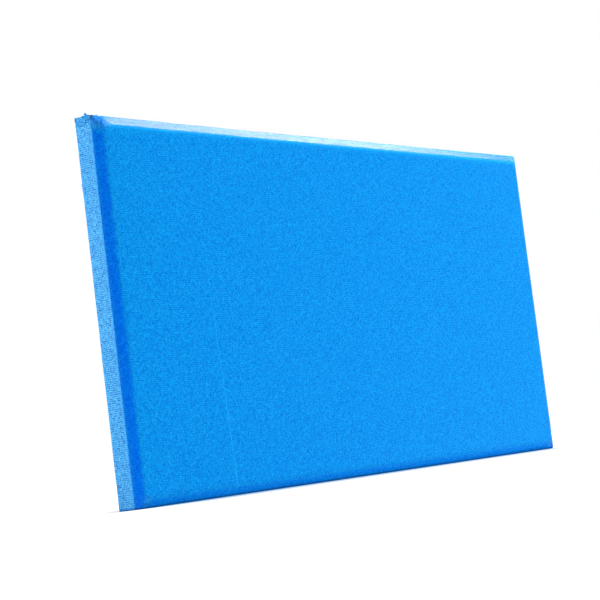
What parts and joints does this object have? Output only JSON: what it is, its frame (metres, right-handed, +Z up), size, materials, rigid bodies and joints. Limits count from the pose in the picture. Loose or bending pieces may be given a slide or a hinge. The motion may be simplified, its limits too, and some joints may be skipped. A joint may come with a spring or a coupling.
{
  "type": "acoustic wall panel",
  "caption": "Upright rectangular acoustic wall panel, wrapped in blue cloth over a timber frame, with a bevelled front and swinging hanging rings behind.",
  "frame": {"origin": "middle of the bottom edge on which the panel stands, halfway through the wrapped frame's depth", "axes": "+X along the panel's length, to the right as seen from its front; +Y out of its back; +Z up. The front faces -Y"},
  "size_m": [1.2, 0.0511, 0.6],
  "materials": {
    "blue_cloth": "plain woven cloth with a slight slub",
    "white_fleece": "polyester fleece",
    "mineral_wool": "pressed mineral wool",
    "softwood": "planed, unfinished",
    "plywood": "sawn, unfinished",
    "black_nonwoven": "spunbonded sheet",
    "zinc_steel": "bright zinc plating",
    "black_rubber": "matt moulded"
  },
  "bodies": {
    "panel": {"cover_fabric": "blue_cloth", "front_fleece": "white_fleece", "core_slab_left": "mineral_wool", "core_slab_right": "mineral_wool", "top_rail": "softwood", "bottom_rail": "softwood", "left_stile": "softwood", "right_stile": "softwood", "centre_brace": "softwood", "dust_cover": "black_nonwoven", "corner_block_top_left": "plywood", "corner_block_top_right": "plywood", "corner_block_bottom_left": "plywood", "corner_block_bottom_right": "plywood", "corner_screw_top_left_rail": "zinc_steel", "corner_screw_top_left_stile": "zinc_steel", "corner_screw_top_right_rail": "zinc_steel", "corner_screw_top_right_stile": "zinc_steel", "corner_screw_bottom_left_rail": "zinc_steel", "corner_screw_bottom_left_stile": "zinc_steel", "corner_screw_bottom_right_rail": "zinc_steel", "corner_screw_bottom_right_stile": "zinc_steel", "brace_screw_top_front": "zinc_steel", "brace_screw_top_back": "zinc_steel", "brace_screw_bottom_front": "zinc_steel", "brace_screw_bottom_back": "zinc_steel", "strap_hanger_left": "zinc_steel", "strap_screw_left_upper": "zinc_steel", "strap_screw_left_lower": "zinc_steel", "strap_hanger_right": "zinc_steel", "strap_screw_right_upper": "zinc_steel", "strap_screw_right_lower": "zinc_steel", "wall_bumper_top_left": "black_rubber", "wall_bumper_top_right": "black_rubber", "wall_bumper_bottom_left": "black_rubber", "wall_bumper_bottom_right": "black_rubber"},
    "left_ring": {"d_ring_left": "zinc_steel"},
    "right_ring": {"d_ring_right": "zinc_steel"}
  },
  "joints": [
    {"name": "left_ring_swing", "type": "hinge", "parent": "panel", "child": "left_ring", "pos_m": [-0.5889, 0.02565, 0.5], "axis": [1, 0, 0], "range_deg": [0, 180]},
    {"name": "right_ring_swing", "type": "hinge", "parent": "panel", "child": "right_ring", "pos_m": [0.5889, 0.02565, 0.5], "axis": [1, 0, 0], "range_deg": [0, 180]}
  ]
}
